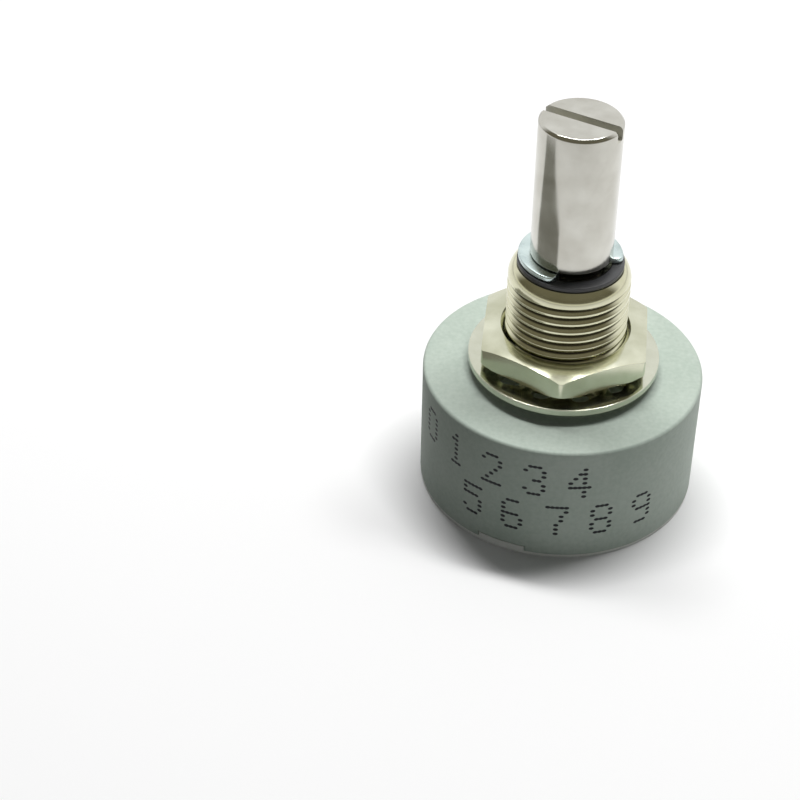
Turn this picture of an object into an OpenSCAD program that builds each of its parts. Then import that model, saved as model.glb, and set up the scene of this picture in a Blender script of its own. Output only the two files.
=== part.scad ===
// Single-turn precision potentiometer with a threaded mounting bushing.
// Millimetres. The origin is on the shaft axis at the rear face, and +Z runs along the shaft to its tip.
// The terminals point along +Y, and angles are measured from +X towards +Y.

/* [Housing] */
// Outside diameter of the housing
body_d = 22.22; // [20:0.1:30]
// Height of the body from its rear face to its front face
body_h = 10.6; // [9.5:0.1:16]
// Wall round the counterbore that takes the rear cover
rim_wall = 1.3; // [0.9:0.05:1.8]
// Width of the ledge that holds the element disc against the cover
ledge_w = 0.95; // [0.5:0.05:1.3]
// Thickness of the front wall
front_wall = 2.4; // [2:0.1:3]
// Rounding of the front edge
edge_r = 0.3; // [0.1:0.05:0.8]
// Diameter of the raised mounting boss
boss_d = 12.6; // [11.5:0.1:14]
// Height of the raised mounting boss
boss_h = 0.4; // [0.2:0.05:1]

/* [Rear cover] */
// Thickness of the cover's flange, which shows under the housing's rim
flange_t = 0.28; // [0.2:0.02:0.6]
// Thickness of the cover with its spigot
cover_t = 1.4; // [1.1:0.05:2]
// Amount that the flange stands in from the housing's side
flange_inset = 0.05; // [0:0.01:0.2]
// Direction of the key tab
key_angle = -110; // [-180:0.5:0]
// Arc of the key tab
key_arc = 21; // [10:1:40]
// Height of the key tab above the flange
key_h = 0.4; // [0.3:0.05:1.2]
// Height of the gap above the key tab
key_gap = 0.1; // [0.05:0.01:0.3]

/* [Bushing] */
// Outside diameter of the bushing's thread
thread_d = 9.525; // [8.6:0.025:10.4]
// Length of the bushing in front of the mounting boss
bushing_len = 9.525; // [7:0.025:14]
// Radius of the rounding on the bushing's end
bushing_round = 1.7; // [1.3:0.05:2.5]
// Length of the rounded end
bushing_nose_l = 1.25; // [0.5:0.05:1.25]
// Size across flats of the bushing's hexagon flange
bushing_flange_af = 12; // [11:0.1:13]
// Thickness of the bushing's hexagon flange
bushing_flange_t = 1.2; // [0.8:0.1:1.6]

/* [Nut and lock washer] */
// Size of the nut across its flats
nut_af = 12.7; // [12:0.1:14.3]
// Thickness of the nut
nut_t = 1.98; // [1.5:0.02:3]
// Distance from the nut's flats to the start of its chamfer
nut_face_inset = 0.45; // [0.2:0.05:0.6]
// Slope of the nut's chamfer
nut_chamfer_angle = 18; // [10:1:30]
// Amount that the nut's rear corners are turned off, along the radius
nut_rear_trim = 0.48; // [0.1:0.02:0.9]
// Slope of the trimmed rear corners
nut_rear_angle = 30; // [15:1:40]
// Radial size of the countersink in the nut's front face
nut_countersink = 0.28; // [0.1:0.02:0.4]
// Turn of the nut on the bushing
nut_turn = 30; // [0:1:60]
// Gap between the lock washer and the nut, which is run down by hand only
nut_gap = 0.25; // [0.05:0.05:0.8]
// Outside diameter of the lock washer
washer_d = 15.1; // [14:0.02:17]
// Thickness of the lock washer's sheet
washer_t = 0.58; // [0.4:0.02:0.8]
// Width of the lock washer's rim
washer_rim = 1.3; // [0.9:0.05:1.6]
// Number of teeth on the lock washer
tooth_count = 12; // [8:1:14]
// Width of each tooth
tooth_w = 1.8; // [1.2:0.05:2]
// Twist of each tooth out of the rim's plane
tooth_twist = 29; // [10:1:35]

/* [Shaft and retaining ring] */
// Diameter of the shaft
shaft_d = 6.35; // [5.5:0.05:7]
// Length of the shaft in front of the mounting boss
shaft_len = 22.22; // [16:0.02:40]
// Chamfer on the shaft's tip
tip_chamfer = 0.22; // [0.1:0.02:0.5]
// Width of the screwdriver slot
slot_w = 0.85; // [0.6:0.05:1.5]
// Depth of the screwdriver slot
slot_depth = 1; // [0.8:0.1:2]
// Direction of the screwdriver slot
slot_turn = -24; // [-90:1:90]
// Depth of the retaining ring's groove in the shaft
groove_depth = 0.6; // [0.3:0.05:0.8]
// Thickness of the retaining ring
ring_t = 0.44; // [0.4:0.02:0.8]
// Axial play of the retaining ring in its groove
ring_play = 0.1; // [0.04:0.02:0.2]
// Amount that the retaining ring stands out of the shaft
ring_lip = 0.85; // [0.5:0.05:1.1]
// Arc of the retaining ring's opening
ring_open_arc = 98; // [60:1:110]
// Direction of the retaining ring's opening
ring_turn = -57.5; // [-180:0.5:180]
// Amount by which the ring is wider opposite its opening
ring_taper = 0.08; // [0:0.02:0.2]
// Thickness of the thrust washer
thrust_t = 0.38; // [0.2:0.02:0.6]
// Amount that the thrust washer stands out of the shaft
thrust_lip = 0.95; // [0.6:0.05:1.1]

/* [Rotor and wiper] */
// Height of the waves of the spring washer behind the bushing, with its sheet
wave_h = 0.7; // [0.5:0.05:1]
// Sheet thickness of the spring washer
wave_t = 0.2; // [0.1:0.02:0.3]
// Width of the spring washer
wave_w = 1.3; // [0.8:0.1:1.6]
// Step from the shaft down to the journal that carries the rotor
journal_step = 0.8; // [0.5:0.05:1.1]
// Depth of the flat on the journal
journal_flat = 0.5; // [0.3:0.05:0.8]
// Length of the journal behind the rotor
journal_end = 0.3; // [0.1:0.05:0.5]
// Gap between the rotor's rim and the chamber
rotor_gap = 0.7; // [0.4:0.05:1]
// Thickness of the rotor's disc
rotor_disc_t = 1.3; // [0.9:0.1:1.8]
// Wall of the rotor's boss round the journal
rotor_boss_wall = 2.2; // [1.4:0.1:2.6]
// Height of the wiper's mounting face over the tracks
wiper_lift = 1.6; // [1.2:0.1:2.2]
// Sheet thickness of the wiper
wiper_t = 0.15; // [0.08:0.01:0.25]
// Length of the wiper's mounting plate
wiper_plate_l = 2; // [1.6:0.1:2.6]
// Length of the wiper's fingers from the plate to their contact point
finger_l = 2.4; // [1.8:0.1:3]
// Length of the upturned tip of each finger
finger_tip = 0.45; // [0.3:0.05:0.7]
// Width of each finger
finger_w = 0.24; // [0.15:0.01:0.3]
// Spacing of the fingers
finger_pitch = 0.36; // [0.3:0.02:0.45]
// Number of fingers on the resistance track
track_fingers = 3; // [2:1:4]
// Number of fingers on the collector
collector_fingers = 3; // [2:1:3]
// Diameter of the stakes that hold the wiper
stake_d = 0.8; // [0.6:0.05:1]
// Diameter of the stakes' spread heads
stake_head_d = 1.3; // [1.1:0.05:1.6]
// Thickness of the stakes' spread heads
stake_head_t = 0.25; // [0.15:0.05:0.4]

/* [Element] */
// Thickness of the element disc
element_t = 0.8; // [0.5:0.05:1.2]
// Thickness of the tracks and pads
track_t = 0.06; // [0.03:0.01:0.1]
// Width of the resistance track
track_w = 1.4; // [1:0.05:1.6]
// Width of the collector ring
collector_w = 1.2; // [0.9:0.05:1.4]
// Space between the resistance track and the collector ring
track_space = 0.9; // [0.5:0.05:1.1]
// Arc between the two ends of the resistance track
track_gap = 20; // [18:1:40]
// Arc of the pad's leg at each end of the resistance track
pad_leg_arc = 3; // [2:0.5:4]
// Width of the collector's lead between the track's ends
lead_w = 0.6; // [0.4:0.05:0.7]
// Space between the pads and the track
pad_space = 0.25; // [0.15:0.05:0.4]

/* [Terminals] */
// Angle between neighbouring terminals
term_pitch = 30; // [26:1:40]
// Width of each terminal
term_w = 2; // [1.6:0.1:2.4]
// Thickness of each terminal
term_t = 0.45; // [0.3:0.05:0.6]
// Length of each terminal outside the housing
term_len = 5.2; // [3:0.1:8]
// Diameter of the eyelet in each terminal
eyelet_d = 1.3; // [0.9:0.05:1.5]
// Distance from the terminal's end to the centre of its eyelet
eyelet_inset = 1.5; // [1.2:0.05:2]
// Diameter of the rivets' shanks
rivet_d = 0.9; // [0.6:0.05:1]
// Diameter of the rivets' heads
rivet_head_d = 1.4; // [1.2:0.05:1.6]
// Thickness of the rivets' heads
rivet_head_t = 0.22; // [0.15:0.01:0.3]

/* [Clearances] */
// Gap between pieces that are fixed to each other
seat_gap = 0.02; // [0.01:0.01:0.05]
// Radial running clearance of the shaft in the bushing
run_gap = 0.03; // [0.01:0.01:0.06]
// Axial play between turning and fixed pieces
end_play = 0.05; // [0.02:0.01:0.1]
// Radial clearance between the nut and the crests of the thread
thread_gap = 0.06; // [0.03:0.01:0.1]
// Clearance of the lock washer's teeth round the thread
tooth_gap = 0.2; // [0.1:0.05:0.4]
// Clearance round each terminal in the housing's rim
notch_gap = 0.08; // [0.04:0.02:0.2]
// Gap between the wiper's contact points and the tracks
contact_gap = 0.05; // [0.03:0.01:0.1]
// Room round the rivets' heads
head_gap = 0.15; // [0.1:0.05:0.3]

/* [Hidden] */

$fn = 128;
// Length by which a cut runs past the faces that it opens
over = 1;

// Radii of the housing, from its side inwards
body_r = body_d / 2;
bore_r = body_r - rim_wall;
ledge_r = bore_r - ledge_w;

// Heights from the rear face up to the tracks
rim_z = flange_t + seat_gap;
element_z = cover_t + seat_gap;
element_top = element_z + element_t;
track_top = element_top + track_t;
term_z = track_top + seat_gap;
term_top = term_z + term_t;

// Heights from the front face down to the rotor
wall_z = body_h - front_wall;
face_z = body_h + boss_h;
wave_z = wall_z - seat_gap - wave_h;
rotor_top = wave_z - end_play;
rotor_z = track_top + wiper_lift;

// Heights of what is stacked on the mounting boss and on the bushing's end
bushing_end = face_z + bushing_len;
tooth_rise = tooth_w * sin(tooth_twist) + washer_t * cos(tooth_twist);
washer_mid = face_z + seat_gap + tooth_rise / 2;
nut_z = face_z + seat_gap + tooth_rise + nut_gap;
thrust_z = bushing_end + seat_gap;
ring_z = thrust_z + thrust_t + end_play;
groove_z = ring_z - seat_gap;
groove_top = ring_z + ring_t + ring_play;
shaft_tip = face_z + shaft_len;

// Radii of the shaft and what turns on it
shaft_r = shaft_d / 2;
thread_r = thread_d / 2;
groove_r = shaft_r - groove_depth;
journal_r = shaft_r - journal_step;
rotor_r = ledge_r - rotor_gap;
rotor_boss_r = journal_r + rotor_boss_wall;

// Radii of the tracks, pads and rivets, from the ledge inwards
pad_out = ledge_r - head_gap;
rivet_r = ledge_r - head_gap - rivet_head_d / 2;
term_in = rivet_r - rivet_head_d / 2 - seat_gap;
pad_in = term_in + seat_gap;
track_out = pad_in - pad_space;
track_in = track_out - track_w;
collector_out = track_in - track_space;
collector_in = collector_out - collector_w;
term_out = body_r + term_len;

// The terminals stand round the direction of the middle one
term_mid = 90;
function term_angle(i) = term_mid + (i - 2) * term_pitch;

// The wiper rests at the middle of its travel
wiper_turn = term_mid - 180;
finger_z = track_top + contact_gap;
plate_z = rotor_z - seat_gap - wiper_t;
plate_edge = -finger_l;
plate_end = plate_edge - wiper_plate_l;
track_mid = (track_out + track_in) / 2;
collector_mid = (collector_out + collector_in) / 2;
stake_y = plate_edge - wiper_plate_l / 2;

grey_plastic = "#9fa9a2";
pale_plastic = "#d2d7d0";
nickel = "#c3bfa6";
steel = "#c9c7c2";
zinc = "#b9c8cc";
black = "#25262a";
brass = "#c9a24e";
silver = "#d5d5d0";
carbon = "#2b2b2d";
laminate = "#6d5a3a";
rotor_plastic = "#37393c";

// Ring standing on the plane z
module ring(outer, inner, z, h) {
    translate([0, 0, z])
        difference() {
            cylinder(r = outer, h = h);
            translate([0, 0, -over])
                cylinder(r = inner, h = h + 2 * over);
        }
}

// Part of a flat ring between two angles
module arc_plate(outer, inner, z, h, from, to) {
    translate([0, 0, z])
        rotate([0, 0, from])
            rotate_extrude(angle = to - from)
                translate([inner, 0])
                    square([outer - inner, h]);
}

// Bar of width w that runs outwards between two radii
module radial_bar(inner, outer, w, z, h, angle) {
    rotate([0, 0, angle])
        translate([inner, -w / 2, z])
            cube([outer - inner, w, h]);
}

// Upright cylinder at a radius and an angle
module peg(r, at, angle, z, h) {
    rotate([0, 0, angle])
        translate([at, 0, z])
            cylinder(r = r, h = h);
}

// Hexagonal prism with the given size across its flats
module hexagon(af, h) {
    cylinder(r = af / 2 / cos(30), h = h, $fn = 6);
}

// Half section of the housing's outside, with the rounded front edge
module housing_section() {
    translate([0, rim_z])
        square([body_r, body_h - rim_z - edge_r]);
    square_top = body_h - edge_r;
    translate([0, square_top])
        square([body_r - edge_r, edge_r]);
    intersection() {
        translate([body_r - edge_r, square_top])
            circle(r = edge_r);
        translate([body_r - edge_r, square_top])
            square([edge_r, edge_r]);
    }
}

module housing() {
    notch_w = term_w + 2 * notch_gap;
    color(grey_plastic)
        difference() {
            union() {
                rotate_extrude()
                    housing_section();
                translate([0, 0, wall_z])
                    cylinder(d = boss_d, h = face_z - wall_z);
            }
            translate([0, 0, -over])
                cylinder(r = bore_r, h = element_top + seat_gap + over);
            translate([0, 0, -over])
                cylinder(r = ledge_r, h = wall_z + over);
            translate([0, 0, wall_z - over])
                hexagon(bushing_flange_af + 2 * seat_gap, bushing_flange_t + seat_gap + over);
            cylinder(r = thread_r + seat_gap, h = face_z + over);
            for (i = [1:3])
                radial_bar(ledge_r - over, body_r + over, notch_w, -over,
                    term_top + notch_gap + over, term_angle(i));
            arc_plate(body_r + over, bore_r - over / 2, -over, rim_z + key_h + key_gap + over,
                key_angle - key_arc / 2, key_angle + key_arc / 2);
        }
}

// Shapes that stay on the cover's edge above its flange: a tab under each terminal, and the key tab
module cover_tabs(top) {
    key_play = asin(notch_gap / body_r);
    for (i = [1:3])
        radial_bar(0, body_r + 2 * over, term_w, -over, top + 2 * over, term_angle(i));
    arc_plate(body_r + 2 * over, bore_r - over, -over, rim_z + key_h + over,
        key_angle - key_arc / 2 + key_play, key_angle + key_arc / 2 - key_play);
}

// One turned blank, cut down to the flange between its tabs
module rear_cover() {
    top = term_z - seat_gap;
    color(pale_plastic)
        difference() {
            cylinder(r = body_r - flange_inset, h = top);
            difference() {
                ring(body_r + over, bore_r - seat_gap, flange_t, top);
                cover_tabs(top);
            }
            translate([0, 0, cover_t])
                cylinder(r = bore_r + seat_gap, h = top);
            for (i = [1:3])
                peg(rivet_head_d / 2 + head_gap, rivet_r, term_angle(i),
                    cover_t - rivet_head_t - head_gap, rivet_head_t + head_gap + over);
        }
}

// Half section of the bushing's barrel, with its rounded end
module barrel_section() {
    round_z = bushing_end - bushing_nose_l;
    translate([0, wall_z])
        square([thread_r, round_z - wall_z]);
    translate([0, round_z])
        square([thread_r - bushing_round, bushing_nose_l]);
    intersection() {
        translate([thread_r - bushing_round, round_z])
            circle(r = bushing_round);
        translate([thread_r - bushing_round, round_z])
            square([bushing_round, bushing_nose_l]);
    }
}

module bushing() {
    color(nickel)
        difference() {
            union() {
                translate([0, 0, wall_z])
                    hexagon(bushing_flange_af, bushing_flange_t);
                rotate_extrude()
                    barrel_section();
            }
            translate([0, 0, wall_z - over])
                cylinder(r = shaft_r + run_gap, h = bushing_end - wall_z + 2 * over);
        }
}

// Nut with its front corners turned off by a shallow cone and its rear corners trimmed
module mounting_nut() {
    corner_r = nut_af / 2 / cos(30);
    blank_r = corner_r + over;
    face_r = nut_af / 2 - nut_face_inset;
    rear_r = corner_r - nut_rear_trim;
    hole_r = thread_r + thread_gap;
    color(nickel)
        translate([0, 0, nut_z])
            difference() {
                intersection() {
                    rotate([0, 0, nut_turn])
                        hexagon(nut_af, nut_t);
                    rotate_extrude()
                        polygon([
                            [0, 0],
                            [rear_r, 0],
                            [blank_r, (blank_r - rear_r) * tan(nut_rear_angle)],
                            [blank_r, nut_t - (blank_r - face_r) * tan(nut_chamfer_angle)],
                            [face_r, nut_t],
                            [0, nut_t]
                        ]);
                }
                translate([0, 0, -over])
                    cylinder(r = hole_r, h = nut_t + 2 * over);
                translate([0, 0, nut_t - nut_countersink])
                    cylinder(r1 = hole_r, r2 = hole_r + nut_countersink + over, h = nut_countersink + over);
            }
}

module lock_washer() {
    rim_in = washer_d / 2 - washer_rim;
    root = washer_rim / 4;
    tip_r = thread_r + tooth_gap;
    color(nickel)
        union() {
            ring(washer_d / 2, rim_in, washer_mid - washer_t / 2, washer_t);
            for (i = [0:tooth_count - 1])
                rotate([0, 0, i * 360 / tooth_count])
                    translate([tip_r, 0, washer_mid])
                        rotate([tooth_twist, 0, 0])
                            translate([0, -tooth_w / 2, -washer_t / 2])
                                cube([rim_in + root - tip_r, tooth_w, washer_t]);
        }
}

module shaft() {
    color(steel)
        difference() {
            union() {
                translate([0, 0, rotor_z - journal_end])
                    cylinder(r = journal_r, h = rotor_top + seat_gap - rotor_z + journal_end);
                translate([0, 0, rotor_top + seat_gap])
                    cylinder(r = shaft_r, h = shaft_tip - tip_chamfer - rotor_top - seat_gap);
                translate([0, 0, shaft_tip - tip_chamfer])
                    cylinder(r1 = shaft_r, r2 = shaft_r - tip_chamfer, h = tip_chamfer);
            }
            ring(shaft_r + over, groove_r, groove_z, groove_top - groove_z);
            rotate([0, 0, slot_turn])
                translate([-shaft_d, -slot_w / 2, shaft_tip - slot_depth])
                    cube([2 * shaft_d, slot_w, slot_depth + over]);
            translate([journal_r - journal_flat, -shaft_d, rotor_z - journal_end - over])
                cube([shaft_d, 2 * shaft_d, rotor_top - rotor_z + journal_end + over]);
        }
}

// Open ring, a little wider opposite its opening
module retaining_ring() {
    outer = shaft_r + ring_lip;
    reach = 2 * outer;
    half = ring_open_arc / 2;
    color(zinc)
        rotate([0, 0, ring_turn])
            difference() {
                translate([-ring_taper, 0, ring_z])
                    cylinder(r = outer, h = ring_t);
                translate([0, 0, ring_z - over])
                    cylinder(r = groove_r + seat_gap, h = ring_t + 2 * over);
                translate([0, 0, ring_z - over])
                    linear_extrude(ring_t + 2 * over)
                        polygon([
                            [0, 0],
                            [reach * cos(half), -reach * sin(half)],
                            [reach, 0],
                            [reach * cos(half), reach * sin(half)]
                        ]);
            }
}

module thrust_washer() {
    color(black)
        ring(shaft_r + thrust_lip, shaft_r + run_gap, thrust_z, thrust_t);
}

// Sheet ring with three waves, each corner of its section following the same sine
module wave_washer() {
    inner = shaft_r + run_gap + seat_gap;
    outer = inner + wave_w;
    steps = 72;
    waves = 3;
    swing = (wave_h - wave_t) / 2;
    function height(i) = wave_z + swing * (1 + sin(i * 360 / steps * waves));
    function corner(r, i, lift) = [
        r * cos(i * 360 / steps), r * sin(i * 360 / steps), height(i) + lift
    ];
    points = [
        for (i = [0:steps - 1])
            each [corner(inner, i, 0), corner(outer, i, 0), corner(outer, i, wave_t), corner(inner, i, wave_t)]
    ];
    faces = [
        for (i = [0:steps - 1], k = [0:3])
            let (a = 4 * i + k, b = 4 * i + (k + 1) % 4, n = 4 * ((i + 1) % steps))
                each [[a, n + k, n + (k + 1) % 4], [a, n + (k + 1) % 4, b]]
    ];
    color(steel)
        polyhedron(points = points, faces = faces);
}

// Places a child in the wiper's own frame, where x runs outwards and y along the sweep
module on_wiper() {
    rotate([0, 0, wiper_turn])
        children();
}

module rotor_hub() {
    stakes = [track_mid, collector_mid];
    stake_l = wiper_t + 2 * seat_gap;
    color(rotor_plastic) {
        difference() {
            union() {
                translate([0, 0, rotor_z])
                    cylinder(r = rotor_r, h = rotor_disc_t);
                translate([0, 0, rotor_z])
                    cylinder(r = rotor_boss_r, h = rotor_top - rotor_z);
            }
            difference() {
                translate([0, 0, rotor_z - over])
                    cylinder(r = journal_r + seat_gap, h = rotor_top - rotor_z + 2 * over);
                translate([journal_r - journal_flat + seat_gap, -shaft_d, rotor_z - 2 * over])
                    cube([shaft_d, 2 * shaft_d, rotor_top - rotor_z + 4 * over]);
            }
        }
        on_wiper()
            for (x = stakes)
                translate([x, stake_y, 0]) {
                    translate([0, 0, rotor_z - stake_l])
                        cylinder(d = stake_d, h = stake_l + seat_gap);
                    translate([0, 0, rotor_z - stake_l - stake_head_t])
                        cylinder(d = stake_head_d, h = stake_head_t);
                }
    }
}

// Row of fingers that reach down to a track, centred on a radius
module finger_row(mid, count) {
    tip_rise = finger_tip / 2;
    side = [
        [plate_edge - wiper_t, plate_z],
        [0, finger_z],
        [finger_tip, finger_z + tip_rise],
        [finger_tip, finger_z + tip_rise + wiper_t],
        [0, finger_z + wiper_t],
        [plate_edge - wiper_t, plate_z + wiper_t]
    ];
    for (i = [0:count - 1])
        translate([mid + (i - (count - 1) / 2) * finger_pitch + finger_w / 2, 0, 0])
            rotate([90, 0, -90])
                mirror([1, 0, 0])
                    linear_extrude(finger_w)
                        polygon(side);
}

module wiper() {
    plate_in = collector_mid - stake_head_d / 2;
    plate_out = track_mid + stake_head_d / 2;
    color(brass)
        on_wiper() {
            difference() {
                translate([plate_in, plate_end, plate_z])
                    cube([plate_out - plate_in, wiper_plate_l, wiper_t]);
                for (x = [track_mid, collector_mid])
                    translate([x, stake_y, plate_z - over])
                        cylinder(d = stake_d + 2 * seat_gap, h = wiper_t + 2 * over);
            }
            finger_row(track_mid, track_fingers);
            finger_row(collector_mid, collector_fingers);
        }
}

// Holes for the three rivets
module rivet_holes(z, h) {
    for (i = [1:3])
        peg(rivet_d / 2 + seat_gap, rivet_r, term_angle(i), z - over, h + 2 * over);
}

module element_disc() {
    color(laminate)
        difference() {
            translate([0, 0, element_z])
                cylinder(r = bore_r - seat_gap, h = element_t);
            rivet_holes(element_z, element_t);
        }
}

module resistance_track() {
    color(carbon)
        arc_plate(track_out, track_in, element_top, track_t,
            term_mid + track_gap / 2, term_mid + 360 - track_gap / 2);
}

module collector_track() {
    color(carbon)
        ring(collector_out, collector_in, element_top, track_t);
}

// Pad at one end of the resistance track, on the given side of the middle terminal
module end_pad(side) {
    leg_play = asin(seat_gap / track_in);
    leg_end = track_gap / 2 - leg_play;
    leg_start = leg_end - pad_leg_arc;
    far_end = term_pitch + asin(rivet_head_d / 2 / rivet_r);
    color(silver)
        difference() {
            rotate([0, 0, term_mid])
                mirror([0, side > 0 ? 0 : 1, 0])
                    union() {
                        arc_plate(pad_in + pad_space, track_in, element_top, track_t, leg_start, leg_end);
                        arc_plate(pad_out, pad_in, element_top, track_t, leg_start, far_end);
                    }
            rivet_holes(element_top, track_t);
        }
}

// Lead from the collector ring out to the middle terminal
module collector_pad() {
    head_w = rivet_head_d;
    color(silver)
        difference() {
            union() {
                radial_bar(collector_out + seat_gap, pad_out, lead_w, element_top, track_t, term_mid);
                radial_bar(pad_in, pad_out, head_w, element_top, track_t, term_mid);
            }
            rivet_holes(element_top, track_t);
        }
}

// Solder lug with a round end and an eyelet
module terminal(i) {
    color(brass)
        difference() {
            union() {
                radial_bar(term_in, term_out - term_w / 2, term_w, term_z, term_t, term_angle(i));
                peg(term_w / 2, term_out - term_w / 2, term_angle(i), term_z, term_t);
            }
            peg(eyelet_d / 2, term_out - eyelet_inset, term_angle(i), term_z - over, term_t + 2 * over);
            rivet_holes(term_z, term_t);
        }
}

// Rivet through a terminal, its pad and the element disc
module rivet(i) {
    foot = element_z - seat_gap - rivet_head_t;
    top = term_top + seat_gap;
    color(brass)
        union() {
            peg(rivet_d / 2, rivet_r, term_angle(i), foot, top - foot);
            peg(rivet_head_d / 2, rivet_r, term_angle(i), foot, rivet_head_t);
            peg(rivet_head_d / 2, rivet_r, term_angle(i), top, rivet_head_t);
        }
}

housing();
rear_cover();
bushing();
mounting_nut();
lock_washer();
shaft();
retaining_ring();
thrust_washer();
wave_washer();
rotor_hub();
wiper();
element_disc();
resistance_track();
collector_track();
end_pad(-1);  // pad_1
collector_pad();  // pad_2
end_pad(1);  // pad_3
terminal(1);  // terminal_1
terminal(2);  // terminal_2
terminal(3);  // terminal_3
rivet(1);  // rivet_1
rivet(2);  // rivet_2
rivet(3);  // rivet_3
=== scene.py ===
import bmesh
import bpy
import math
from mathutils import Matrix, Vector


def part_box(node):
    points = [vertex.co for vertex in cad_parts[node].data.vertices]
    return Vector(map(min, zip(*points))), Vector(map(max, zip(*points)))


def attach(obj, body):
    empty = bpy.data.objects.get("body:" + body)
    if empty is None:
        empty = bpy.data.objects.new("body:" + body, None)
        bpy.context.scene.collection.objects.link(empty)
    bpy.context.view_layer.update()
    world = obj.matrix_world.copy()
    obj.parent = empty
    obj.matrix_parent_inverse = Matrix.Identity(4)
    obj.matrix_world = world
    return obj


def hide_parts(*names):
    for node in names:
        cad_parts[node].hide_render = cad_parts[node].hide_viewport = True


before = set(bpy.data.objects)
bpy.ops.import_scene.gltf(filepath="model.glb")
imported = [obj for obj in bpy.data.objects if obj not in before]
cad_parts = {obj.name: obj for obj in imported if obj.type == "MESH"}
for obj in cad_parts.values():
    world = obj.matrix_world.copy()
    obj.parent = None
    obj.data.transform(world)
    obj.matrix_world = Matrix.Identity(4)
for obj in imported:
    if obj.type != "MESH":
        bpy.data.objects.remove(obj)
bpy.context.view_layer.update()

mm = 0.001  # the frame is in metres, the pieces are modelled in millimetres and scaled at the end
weld = 0.0005  # distance at which doubled points are one point
onPlane = weld / 5  # distance at which a cut takes a point as lying on its plane
seat = 0.02  # gap between pieces that seat on each other


# radius about the shaft axis, lowest and highest point of a node, in millimetres
def reach(node):
    low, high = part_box(node)
    return high[0] / mm, low[2] / mm, high[2] / mm


# materials

firstColour, secondColour, mixedColour = 6, 7, 2  # colour sockets of a Mix node: two inputs and the output


def toLinear(hexColour):
    parts = [int(hexColour[i:i + 2], 16) / 255 for i in (1, 3, 5)]
    return [p / 12.92 if p <= 0.04045 else ((p + 0.055) / 1.055) ** 2.4 for p in parts] + [1]


# adds a node, sets its own settings and sockets, and links the sockets that are given another node's output
def addNode(tree, kind, sockets=None, **settings):
    node = tree.nodes.new(kind)
    for key, value in settings.items():
        setattr(node, key, value)
    for key, value in (sockets or {}).items():
        if isinstance(value, bpy.types.NodeSocket):
            tree.links.new(value, node.inputs[key])
        else:
            node.inputs[key].default_value = value
    return node


def newMaterial(name):
    material = bpy.data.materials.new(name)
    material.use_nodes = True
    tree = material.node_tree
    shader = tree.nodes["Principled BSDF"]
    place = addNode(tree, "ShaderNodeTexCoord").outputs["Object"]
    return material, tree, shader, place


# cycles per metre for a pattern whose marks are this many millimetres apart
def perMark(size):
    return 1 / (size * mm)


# marks in millimetres; the real grain is finer, and is drawn as coarse as it needs to show
mould = {
    "flow": 6, "speck": 0.35, "grain": 0.16, "grainDepth": 0.03, "grainStrength": 0.12,
    "mottle": (0.75, 1.25), "roughness": (0.5, 0.64),
}


# glass-filled thermoplastic, moulded with a fine matt grain: soft broad shine, faint flow mottling
def mouldedPlastic(name, colour, darker):
    material, tree, shader, place = newMaterial(name)
    noises = {}
    for mark, detail in (("flow", 4), ("speck", 3), ("grain", 2)):
        noise = addNode(tree, "ShaderNodeTexNoise",
                        {"Vector": place, "Scale": perMark(mould[mark]), "Detail": detail})
        noises[mark] = noise.outputs["Fac"]
    both = addNode(tree, "ShaderNodeMath", {0: noises["flow"], 1: noises["speck"]}, operation="ADD")
    least, most = mould["mottle"]
    mottle = addNode(tree, "ShaderNodeMapRange",
                     {"Value": both.outputs[0], "From Min": least, "From Max": most})
    tint = addNode(tree, "ShaderNodeMix", {"Factor": mottle.outputs[0], firstColour: toLinear(darker),
                                           secondColour: toLinear(colour)}, data_type="RGBA")
    smooth, dull = mould["roughness"]
    rough = addNode(tree, "ShaderNodeMapRange", {"Value": noises["speck"], "To Min": smooth, "To Max": dull})
    bump = addNode(tree, "ShaderNodeBump", {"Height": noises["grain"], "Strength": mould["grainStrength"],
                                            "Distance": mould["grainDepth"] * mm})
    tree.links.new(tint.outputs[mixedColour], shader.inputs["Base Color"])
    tree.links.new(rough.outputs[0], shader.inputs["Roughness"])
    tree.links.new(bump.outputs[0], shader.inputs["Normal"])
    shader.inputs["IOR"].default_value = 1.5
    shader.inputs["Specular IOR Level"].default_value = 0.4
    return material


# how smears change the roughness, how tool marks stretch round the axis, and how the painted shade deep in a
# thread or groove fades out
plate = {
    "smears": (0.3, 0.7), "smoother": 0.8, "duller": 1.25, "stretch": (0.06, 0.06, 1),
    "markStrength": 0.35, "shadeFade": 0.2,
}
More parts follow.
